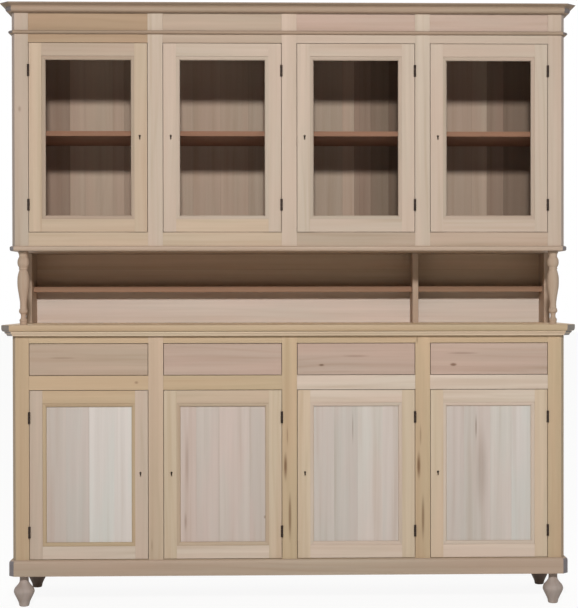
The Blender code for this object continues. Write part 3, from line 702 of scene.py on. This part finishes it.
# Turned profiles, as (radius, share of their height) from the bottom up; each list flows into a crisp edge
FOOT_PROFILE = (
    [(0.0150, 0.000), (0.0172, 0.013), (0.0185, 0.055), (0.0205, 0.130), (0.0262, 0.240), (0.0330, 0.360)],
    [(0.0355, 0.410), (0.0373, 0.470), (0.0358, 0.535), (0.0330, 0.590), (0.0272, 0.645), (0.0220, 0.700)],
    [(0.0190, 0.740), (0.0168, 0.780), (0.0160, 0.860), (0.0164, 0.930), (0.0182, 0.970), (0.0190, 1.000)],
)
BALUSTER_PROFILE = (
    [(0.0125, 0.000), (0.0130, 0.004), (0.0130, 0.042)],
    [(0.0138, 0.046), (0.0142, 0.061), (0.0128, 0.076)],
    [(0.0105, 0.082), (0.0092, 0.114), (0.0100, 0.141), (0.0128, 0.156)],
    [(0.0152, 0.164), (0.0160, 0.186), (0.0148, 0.209)],
    [(0.0125, 0.217), (0.0120, 0.281), (0.0140, 0.350), (0.0172, 0.426), (0.0205, 0.506), (0.0215, 0.570)],
    [(0.0215, 0.570), (0.0208, 0.646), (0.0175, 0.707), (0.0142, 0.745)],
    [(0.0150, 0.751), (0.0160, 0.761), (0.0150, 0.772)],
    [(0.0150, 0.778), (0.0195, 0.810), (0.0210, 0.848), (0.0196, 0.886), (0.0165, 0.913)],
    [(0.0152, 0.919), (0.0150, 0.943), (0.0168, 0.970)],
    [(0.0180, 0.974), (0.0185, 0.986), (0.0180, 1.000)],
)


def turned(node, profile, colour):
    """A turned piece in place of a node, its profile stretched to the node's height."""
    low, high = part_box(node)
    height = high.z - low.z
    line = [(radius, share * height) for stretch in profile for radius, share in flowing(stretch, 5)]
    piece = Piece(f"{node}_turning", TURNED_WOOD, stands_for=[node], ease=0.0004)
    piece.turning(((low.x + high.x) / 2, (low.y + high.y) / 2, low.z), line, colour)
    piece.done()


def hinge_heights(sill, opening):
    return sill + HINGE_INSET, sill + opening - HINGE_INSET


def hinge_leaf(piece, bay, height, barrels, side):
    """A leaf in the gap beside a pin, with its barrels."""
    edge, _, direction = hinge_side(bay)
    x = edge + direction * DOOR_GAP / 2
    y = FRONT - PIN_STANDOFF
    near, far = (x + direction * side * face for face in LEAF_FACES)
    across = span(near, far)
    piece.board(across, (FRONT + GAP, FRONT + LEAF_REACH), about(height, HINGE_HEIGHT), "zy", NO_TONE)
    for low, high in barrels:
        piece.board(across, (y, FRONT + STRAP_REACH), (height + low, height + high), "zy", NO_TONE)
        piece.rod((x, y, height), BARREL_RADIUS, (low, high))


def face_frame(name, bottom, top, rails, tones, sill, opening):
    """Corner stiles with canted edges, posts, and rails set between them, with door stops and hinge leaves."""
    stile, posts = tones
    joinery = Piece(f"{name}_joinery", FRAME_WOOD, stands_for=[name], ease=0.0003)
    for side in (-1, 1):
        outer, inner = side * HALF_WIDTH, side * (HALF_WIDTH - CORNER_STILE_WIDTH)
        canted = side * (HALF_WIDTH - CORNER_CHAMFER)
        outline = [(outer, FRAME_BACK), (outer, FRONT + CORNER_CHAMFER), (canted, FRONT)]
        outline += [(inner, FRONT), (inner, FRAME_BACK)]
        joinery.upright(outline, (bottom, top), stile)
    for post, colour in enumerate(posts):
        across = about(post_centre(post), POST_WIDTH)
        joinery.board(across, (FRONT, FRAME_BACK), (bottom, top), "zx", colour)
    head = sill + opening
    for bay in range(BAYS):
        across = (bay_left(bay) + SEAM, bay_right(bay) - SEAM)
        for low, high, setback, colours in rails:
            joinery.board(across, (FRONT + setback, FRAME_BACK - INSET), (low, high), "xz", colours[bay])
        _, free, direction = hinge_side(bay)
        left, right = span(free - direction * STOP_FROM, free - direction * STOP_TO)
        low = head - STOP_OVERLAP
        high = low + STOP_HEIGHT
        joinery.board((left, right), (INNER_FRONT, INNER_FRONT + STOP_THICKNESS), (low, high), "xz", stile)
        tongue = (FRAME_BACK - STOP_TONGUE, INNER_FRONT + INSET)
        joinery.board((left + INSET, right - INSET), tongue, (head + INSET, high - INSET), "xz", stile)
    joinery.done()

    ironwork = Piece(f"{name}_hinge_leaves", IRON, ease=0.0003)
    third = HINGE_HEIGHT / 6 - KNUCKLE_PLAY
    for bay in range(BAYS):
        for height in hinge_heights(sill, opening):
            hinge_leaf(ironwork, bay, height, [(-third, third)], -1)
    ironwork.done()


def keyhole_outline(centre, height):
    """A round hole over a slot, as points across and up."""
    start = math.asin(KEYHOLE_SLOT / KEYHOLE_RADIUS)
    turn = (math.tau - 2 * start) / KEYHOLE_STEPS
    outline = [(centre + KEYHOLE_SLOT, height - KEYHOLE_DROP)]
    for arc in range(KEYHOLE_STEPS + 1):
        angle = -math.pi / 2 + start + arc * turn
        outline.append((centre + KEYHOLE_RADIUS * math.cos(angle), height + KEYHOLE_RADIUS * math.sin(angle)))
    outline.append((centre - KEYHOLE_SLOT, height - KEYHOLE_DROP))
    return outline


def finish_node(node, finish):
    """Gives a solid that is shown as it is another surface."""
    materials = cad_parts[node].data.materials
    materials.clear()
    materials.append(finish.material)


def panel(name, bay, left, right, low, high):
    """A lower door's panel, glued up from boards."""
    piece = Piece(f"{name}_boards", PANEL_WOOD, name, [f"{name}_panel"], ease=0.0001)
    lap = SIGHT - PANEL_LAP
    changes = (left + lap + share * (right - left - 2 * lap) for share in PANEL_SHARES[bay])
    edges = [left + lap, *changes, right - lap]
    deep = (FRONT + PANE_RECESS, FRONT + PANE_RECESS + PANEL_THICKNESS)
    for start, end, colour in zip(edges, edges[1:], PANELS[bay]):
        piece.board((start + SEAM, end - SEAM), deep, (low + lap, high - lap), "zx", colour)
    piece.done()


def lock_case(piece, bolt, edge, direction, middle):
    """A case on the back of a stile, of boards round the channel in which the bolt slides."""
    case = span(edge, edge - direction * LOCK_WIDTH)
    case_back = FRAME_BACK + LOCK_THICKNESS
    start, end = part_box(bolt)
    channel = (start.y - BOLT_CLEARANCE, end.y + BOLT_CLEARANCE)
    slot = (start.z - BOLT_CLEARANCE, end.z + BOLT_CLEARANCE)
    floor, roof = about(middle, LOCK_HEIGHT)
    for up in ((floor, slot[0]), (slot[1], roof)):
        piece.board(case, (FRAME_BACK, case_back), up, "zx", NO_TONE)
    for deep in ((FRAME_BACK, channel[0]), (channel[1], case_back)):
        piece.board(case, deep, slot, "zx", NO_TONE)
    channel_end = edge - direction * (end.x - start.x + 2 * BOLT_CLEARANCE)
    piece.board(span(channel_end, edge - direction * LOCK_WIDTH), channel, slot, "zx", NO_TONE)


def door(level, bay, sill, opening):
    """A framed door with its beads and fixing strips, its panel or pane, its hinge leaves and its lock."""
    name = f"{level}_door_{bay + 1}"
    glazed = level == "upper"
    hinge, free, direction = hinge_side(bay)
    far = free - direction * DOOR_GAP
    left, right = span(hinge + direction * DOOR_GAP, far)
    low, high = sill + DOOR_GAP, sill + opening - DOOR_GAP
    middle = sill + opening / 2
    deep = (FRONT, FRAME_BACK)
    stile, bottom_rail, top_rail = (UPPER_DOORS if glazed else LOWER_DOORS)[bay]

    joinery = Piece(f"{name}_joinery", DOOR_WOOD, name, [f"{name}_frame"], ease=0.0003)
    hole = keyhole_outline(far - direction * KEYHOLE_INSET, middle + KEYHOLE_DROP / 2)
    for edges in ((left, left + MEMBER), (right - MEMBER, right)):
        if far in edges:
            joinery.pierced(edges, deep, (low, high), hole, stile)
        else:
            joinery.board(edges, deep, (low, high), "zx", stile)
    inside = (left + MEMBER + SEAM, right - MEMBER - SEAM)
    joinery.board(inside, deep, (low, low + MEMBER), "xz", bottom_rail)
    joinery.board(inside, deep, (high - MEMBER, high), "xz", top_rail)

    ring = [(left, low), (left, high), (right, high), (right, low)]
    seat = MEMBER + SEAM
    front = PANE_RECESS - GAP
    bead = [(seat, front), (seat, 0.003), (MEMBER + 0.003, 0.003)]
    bead += quarter((MEMBER + 0.003, 0.009), (0.0105, -0.006), 90, 0, 7)[1:] + [(SIGHT, front)]
    joinery.moulding(ring, bead, in_front, [c * 0.93 for c in top_rail], closed=True)
    back = PANE_RECESS + (GLASS_THICKNESS if glazed else PANEL_THICKNESS) + GAP
    strip = [(seat, back), (seat, STRIP_BACK), (SIGHT - 0.006, STRIP_BACK)]
    strip += [(SIGHT - 0.003, STRIP_BACK - 0.003), (SIGHT - 0.003, back)]
    joinery.moulding(ring, strip, in_front, top_rail, closed=True)
    joinery.done()

    if glazed:
        finish_node(f"{name}_glass", GLASS)
    else:
        panel(name, bay, left, right, low, high)

    ironwork = Piece(f"{name}_ironwork", IRON, name, ease=0.0003)
    third, half = HINGE_HEIGHT / 6 + KNUCKLE_PLAY, HINGE_HEIGHT / 2
    for height in hinge_heights(sill, opening):
        hinge_leaf(ironwork, bay, height, [(-half, -third), (third, half)], 1)
    lock_case(ironwork, f"{name}_bolt", far - direction * LOCK_EDGE, direction, middle)
    ironwork.done()
    finish_node(f"{name}_bolt", IRON)


def drawer(bay):
    name = f"drawer_{bay + 1}"
    left, right = bay_left(bay) + DOOR_GAP, bay_right(bay) - DOOR_GAP
    low, high = DRAWER_SILL + DOOR_GAP, BASE_HEAD - DOOR_GAP
    face = Piece(f"{name}_face", DRAWER_WOOD, name, [f"{name}_front"])
    face.board((left, right), (FRONT, FRONT + DRAWER_FRONT), (low, high), "xz", DRAWERS[bay])
    face.done()
    box = Piece(f"{name}_sides", INNER_WOOD, name, [f"{name}_box"])
    start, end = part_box(f"{name}_box")
    bottom = low + 2 * SEAM
    up = (bottom, low + DRAWER_BOX_HEIGHT)
    for edges in ((left, left + DRAWER_SIDE), (right - DRAWER_SIDE, right)):
        box.board(edges, (start.y, end.y), up, "yz", DRAWER_BOX)
    inside = (left + DRAWER_SIDE + SEAM, right - DRAWER_SIDE - SEAM)
    box.board(inside, (end.y - DRAWER_SIDE, end.y), up, "xz", DRAWER_BOX)
    box.board(inside, (start.y, end.y - DRAWER_SIDE - SEAM), (bottom, low + DRAWER_BOTTOM), "xy", DRAWER_BOX)
    box.done()


def runners(piece, face, edge, inward):
    """A drawer's runner, kicker, guide and rear stop, glued to a board's face."""
    outer = edge + inward * DOOR_GAP
    inner = outer + inward * DRAWER_SIDE
    deep = (INNER_FRONT + INSET, INNER_BACK - INSET)
    bottom = DRAWER_SILL + DOOR_GAP
    bed = bottom - GAP
    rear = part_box("drawer_1_box")[1].y + GAP
    piece.board(span(face, inner + inward * RUNNER_LEDGE), deep, (bed - RUNNER, bed), "yz", SIDE)
    piece.board(span(face, inner), deep, (BASE_HEAD, BASE_HEAD + RUNNER), "yz", SIDE)
    piece.board(span(face, outer - inward * INSET), deep, (bed, bottom + RUNNER), "yz", SIDE)
    piece.board(span(face, inner), (rear, deep[1] - INSET), (bed, bottom + RUNNER + INSET), "yz", SIDE)


def base_inside():
    """The base's sides, partitions, floor with its corner blocks, and back."""
    floor_top = LOWER_SILL - FLOOR_DROP
    floor_low = floor_top - BASE_FLOOR
    top = BASE_TOP - GAP
    half = SIDE_FACE - GAP
    within = (INNER_FRONT, INNER_BACK)
    for side, word in ((-1, "left"), (1, "right")):
        piece = Piece(f"base_side_{word}_boards", SIDE_WOOD, stands_for=[f"base_side_{word}"])
        across = span(side * SIDE_FACE, side * HALF_WIDTH)
        piece.board(across, (INNER_FRONT, BACK), (FOOT_TOP, top), "zy", SIDE)
        runners(piece, side * SIDE_FACE, bay_left(0) if side < 0 else bay_right(BAYS - 1), -side)
        piece.done()
    for post in range(BAYS - 1):
        node = f"base_partition_{post + 1}"
        piece = Piece(f"{node}_boards", INNER_WOOD, stands_for=[node])
        left, right = about(post_centre(post), BOARD_THICKNESS)
        piece.board((left, right), within, (floor_top + GAP, top), "zy", INSIDE)
        runners(piece, left, bay_right(post), -1)
        runners(piece, right, bay_left(post + 1), 1)
        piece.done()
    floor = Piece("base_floor_boards", INNER_WOOD, stands_for=["base_floor"])
    floor.board((-half, half), within, (floor_low, floor_top), "xy", INSIDE)
    block = INSET + CORNER_BLOCK
    for side in (-1, 1):
        across = span(side * (half - INSET), side * (half - block))
        for deep in ((INNER_FRONT + INSET, INNER_FRONT + block), (INNER_BACK - block, INNER_BACK - INSET)):
            floor.board(across, deep, (FOOT_TOP, floor_low), "xy", FOOT)
    floor.done()
    back = Piece("base_back_boards", INNER_WOOD, stands_for=["base_back"])
    back.board((-half, half), (BACK_FACE, BACK), (FOOT_TOP, top), "zx", BACK_BOARDS)
    back.done()


def worktop():
    piece = Piece("worktop_slab", TOP_WOOD, stands_for=["worktop"])
    nose = [(0.031, 0), (0.0345, 0.0015), (0.0365, 0.0045), (0.0378, 0.008), (0.038, 0.012), (0.038, 0.0205)]
    nose += [(0.0375, 0.0225), (0.0365, 0.0236), (0.0352, 0.024)]
    piece.slab(nose, BASE_TOP, WORKTOP_TONE)
    piece.done()
    apron = Piece("worktop_apron", MOULDING_WOOD, ease=0.0005)
    profile = [(GAP, 0.0158), (GAP, 0), (0.0183, 0), (0.0190, 0.0020), (0.0203, 0.0045)]
    profile += [(0.0222, 0.0070), (0.0250, 0.0095), (0.0268, 0.0108), (0.0273, 0.0120), (0.0273, 0.0158)]
    apron.moulding(body_outline(0), profile, around(BASE_TOP - 0.016), APRON)
    apron.done()


def mouldings():
    """The plinth, the bead under the frieze, and the cornice with the board on top."""
    plinth = Piece("plinth_boards", MOULDING_WOOD, stands_for=["plinth_moulding"])
    profile = [(GAP, 0), (0.0138, 0), (0.0138, 0.0450)]
    profile += quarter((0.0053, 0.0455), (0.0085, 0.0110), 0, 84, 7)
    profile += [(0.0053, 0.0570), (GAP, 0.0570)]
    plinth.moulding(body_outline(0), profile, around(FOOT_TOP), PLINTH)
    plinth.done()
    bead = Piece("frieze_bead_moulding", MOULDING_WOOD, stands_for=["frieze_bead"], ease=0.0004)
    profile = [(GAP, 0.0005), (0.004, 0.0010)] + quarter((0.0045, 0.0075), (0.0073, 0.0060), -80, 80, 12)
    profile += [(0.004, 0.0140), (GAP, 0.0149)]
    bead.moulding(body_outline(0), profile, around(FRIEZE - 0.0075), BEAD)
    bead.done()
    crown = Piece("cornice_moulding", MOULDING_WOOD, stands_for=["cornice"], ease=0.0004)
    profile = [(GAP, 0), (0.0043, 0), (0.0045, 0.0012), (0.0135, 0.0022)]
    profile += quarter((0.0125, 0.0130), (0.0083, 0.0105), -62, 52, 10)
    profile += [(0.0183, 0.0222), (0.0200, 0.0235), (0.0240, 0.0257), (0.0300, 0.0274), (0.0345, 0.0284)]
    profile += [(0.0363, 0.0292), (0.0383, 0.0306), (0.0398, 0.0324), (0.0395, 0.0330), (GAP, 0.0330)]
    crown.moulding(body_outline(0), profile, around(TOTAL_HEIGHT - 0.033), CORNICE)
    crown.done()
    top = Piece("hutch_top_board", TOP_WOOD)
    top.slab([(0, HUTCH_TOP), (0, TOTAL_HEIGHT - 0.0005)], 0, SIDE)
    top.done()


def niche():
    """The supports and shelves between the worktop and the hutch."""
    unit = Piece("niche_shelf_boards", SIDE_WOOD, stands_for=["niche_shelf"])
    low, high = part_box("niche_shelf")
    end = HALF_WIDTH - NICHE_SUPPORT
    divider = post_centre(2)
    for across in ((-HALF_WIDTH, -end), about(divider, NICHE_SUPPORT), (end, HALF_WIDTH)):
        unit.board(across, (low.y, high.y), (low.z, high.z), "zy", BALUSTER)
    top = WORKTOP + NICHE_SHELF_LEVEL
    deep = (high.y - INSET - NICHE_SHELF_DEPTH, high.y - INSET)
    left, right = about(divider, NICHE_SUPPORT)
    for across in ((-end, left), (right, end)):
        unit.board(across, deep, (top - NICHE_SHELF_THICKNESS, top), "xy", NICHE_SHELF)
    unit.done()


def hutch_inside():
    """The hutch's bottom, sides, floor, shelf, partitions and back."""
    half = SIDE_FACE - GAP
    top = HUTCH_TOP - GAP
    within = (INNER_FRONT, INNER_BACK)
    bottom = Piece("hutch_bottom_moulded_board", TOP_WOOD, stands_for=["hutch_bottom_board"])
    nose = [(0.005, 0), (0.0070, 0.0010), (0.0083, 0.0032), (0.0090, 0.0065), (0.0090, 0.0122)]
    nose += [(0.0082, 0.0148), (0.0065, 0.0163), (0.0050, 0.0166), (0.0044, 0.0178), (0.003, 0.018)]
    bottom.slab(nose, HUTCH, HUTCH_BOTTOM, INNER_BACK)
    bottom.done()
    for side, word in ((-1, "left"), (1, "right")):
        piece = Piece(f"hutch_side_{word}_boards", SIDE_WOOD, stands_for=[f"hutch_side_{word}"])
        across = span(side * SIDE_FACE, side * HALF_WIDTH)
        piece.board(across, (INNER_FRONT, BACK), (HUTCH_FRAME + GAP, top), "zy", SIDE)
        piece.done()
    floor = Piece("hutch_floor_boards", INNER_WOOD, stands_for=["hutch_floor"])
    floor_top = UPPER_SILL - FLOOR_DROP
    floor.board((-half, half), within, (floor_top - BOARD_THICKNESS, floor_top), "xy", INSIDE)
    floor.done()

    shelf_top = UPPER_SILL + HUTCH_SHELF_LEVEL
    shelf_low = shelf_top - BOARD_THICKNESS
    slot = (shelf_low - GAP, shelf_top + GAP)
    wall = BOARD_THICKNESS / 2 + GAP
    first, second = (post_centre(post) for post in (1, 2))
    deep = (FRONT + HUTCH_SHELF_SETBACK, INNER_BACK)
    shelf = Piece("hutch_shelf_boards", INNER_WOOD, stands_for=["hutch_shelf"])
    for across in ((-half, first - wall), (first + wall, second - wall), (second + wall, half)):
        shelf.board(across, deep, (shelf_low, shelf_top), "xy", INSIDE_SHELF)
    shelf.done()
    for post in (1, 2):
        node = f"hutch_partition_{post + 1}"
        piece = Piece(f"{node}_boards", INNER_WOOD, stands_for=[node])
        across = about(post_centre(post), BOARD_THICKNESS)
        for up in ((floor_top + GAP, slot[0]), (slot[0] + 2 * SEAM, slot[1] - 2 * SEAM), (slot[1], top)):
            piece.board(across, within, up, "zy", INSIDE)
        piece.done()

    back = Piece("hutch_back_boards", INNER_WOOD, stands_for=["hutch_back"])
    middle = (BACK_FACE + BACK) / 2
    back.board((-half, half), (middle, BACK), (WORKTOP + GAP, top), "zx", BACK_BOARDS)
    deep = (BACK_FACE, middle - 2 * SEAM)
    edge = -half
    for end, colour in HUTCH_BACK:
        back.board((edge, end - SEAM), deep, (HUTCH + 2 * SEAM, top), "zx", colour)
        edge = end
    edge = WORKTOP + GAP
    for end, colour in NICHE_BACK:
        back.board((-half, half), deep, (edge, end - SEAM), "xz", colour)
        edge = end
    back.done()


def floor_and_light():
    """A pale floor that keeps a faint shadow, a key lamp in front, and a surround that is brighter behind."""
    scene = bpy.context.scene
    scene.view_settings.view_transform = "Standard"

    data = bpy.data.meshes.new("floor")
    shape = bmesh.new()
    bmesh.ops.create_grid(shape, x_segments=1, y_segments=1, size=40)
    shape.to_mesh(data)
    shape.free()
    floor = bpy.data.objects.new("floor", data)
    scene.collection.objects.link(floor)
    surface = Finish("pale_floor", None, Roughness=0.9)
    surface.shader.inputs["Base Color"].default_value = (0.74, 0.73, 0.71, 1)
    seen = surface.maths("MINIMUM", seen_rays(surface), 1.0) * 0.86
    glow = surface.node("Emission", {}, {"Color": (1, 1, 1, 1), "Strength": 1.06})
    lit = Reading(surface, surface.shader.outputs[0])
    mixed = surface.node("MixShader", {}, {0: seen, 1: lit, 2: glow})
    surface.feed(surface.tree.nodes["Material Output"].inputs["Surface"], mixed)
    data.materials.append(surface.material)

    world = bpy.data.worlds.new("studio")
    scene.world = world
    world.use_nodes = True
    sky = Nodes(world.node_tree)
    _, rearwards, _ = sky.split(sky.node("TexCoord", {}, {}, "Generated"))
    behind = sky.smooth(rearwards, -0.35, 0.5)
    cast = sky.mix((1.0, 0.90, 0.78, 1), (0.97, 0.985, 1.0, 1), behind)
    soft = sky.node("Background", {}, {"Color": cast, "Strength": 0.07 + behind * 0.63})
    white = sky.node("Background", {}, {"Color": (1, 1, 1, 1), "Strength": 1.0})
    seen = sky.maths("MINIMUM", seen_rays(sky), 1.0)
    both = sky.node("MixShader", {}, {0: seen, 1: soft, 2: white})
    sky.feed(sky.tree.nodes["World Output"].inputs["Surface"], both)

    lamp = bpy.data.lights.new("key", "AREA")
    lamp.shape = "DISK"
    lamp.size = 0.5
    lamp.energy = 313
    lamp.color = (1.0, 0.985, 0.96)
    key = bpy.data.objects.new("key", lamp)
    key.location = (0, FRONT - 6.0, 3.5)
    key.rotation_euler = (Vector((0, 0, 1.1)) - key.location).to_track_quat("-Z", "Y").to_euler()
    scene.collection.objects.link(key)


def seen_rays(nodes):
    """1 for what the camera sees, straight, in a reflection or through glass."""
    kinds = ("Is Camera Ray", "Is Glossy Ray", "Is Transmission Ray")
    straight, glossy, through = (nodes.node("LightPath", {}, {}, kind) for kind in kinds)
    return straight + glossy + through


def camera():
    data = bpy.data.cameras.new("camera")
    data.lens = 86.52
    data.sensor_width = 36
    data.clip_end = 60
    data.shift_x = -0.0516
    data.shift_y = 0.0075
    made = bpy.data.objects.new("camera", data)
    made.location = (-0.020, FRONT - 5.299, 1.126)
    made.rotation_euler = (math.radians(89.51), math.radians(0.07), math.radians(-1.43))
    bpy.context.scene.collection.objects.link(made)
    bpy.context.scene.camera = made


camera()
floor_and_light()
for corner in ("front_left", "front_right", "rear_left", "rear_right"):
    turned(f"foot_{corner}", FOOT_PROFILE, FOOT if "front" in corner else SHADED_REAR_FOOT)
base_inside()
base_rails = (
    (FOOT_TOP, LOWER_SILL, RAIL_SETBACK, [BASE_RAIL] * BAYS),
    (MID_RAIL, DRAWER_SILL, RAIL_SETBACK, MID_RAILS),
    (BASE_HEAD, BASE_TOP - GAP, RAIL_SETBACK, [BASE_RAIL] * BAYS),
)
base_tones = (BASE_STILE, BASE_POSTS)
face_frame("base_frame", FOOT_TOP, BASE_TOP - GAP, base_rails, base_tones, LOWER_SILL, LOWER_OPENING)
worktop()
for end in ("left", "right"):
    turned(f"baluster_{end}", BALUSTER_PROFILE, BALUSTER)
niche()
hutch_rails = (
    (HUTCH_FRAME + GAP, UPPER_SILL, RAIL_SETBACK, HUTCH_RAILS),
    (UPPER_HEAD, FRIEZE, RAIL_SETBACK, TOP_RAILS),
    (FRIEZE, HUTCH_TOP - GAP, FRIEZE_SETBACK, FRIEZE_TONES),
)
hutch_tones = (STILE, HUTCH_POSTS)
hutch_low, hutch_high = HUTCH_FRAME + GAP, HUTCH_TOP - GAP
face_frame("hutch_frame", hutch_low, hutch_high, hutch_rails, hutch_tones, UPPER_SILL, UPPER_OPENING)
hutch_inside()
mouldings()
for bay in range(BAYS):
    drawer(bay)
    door("lower", bay, LOWER_SILL, LOWER_OPENING)
    door("upper", bay, UPPER_SILL, UPPER_OPENING)
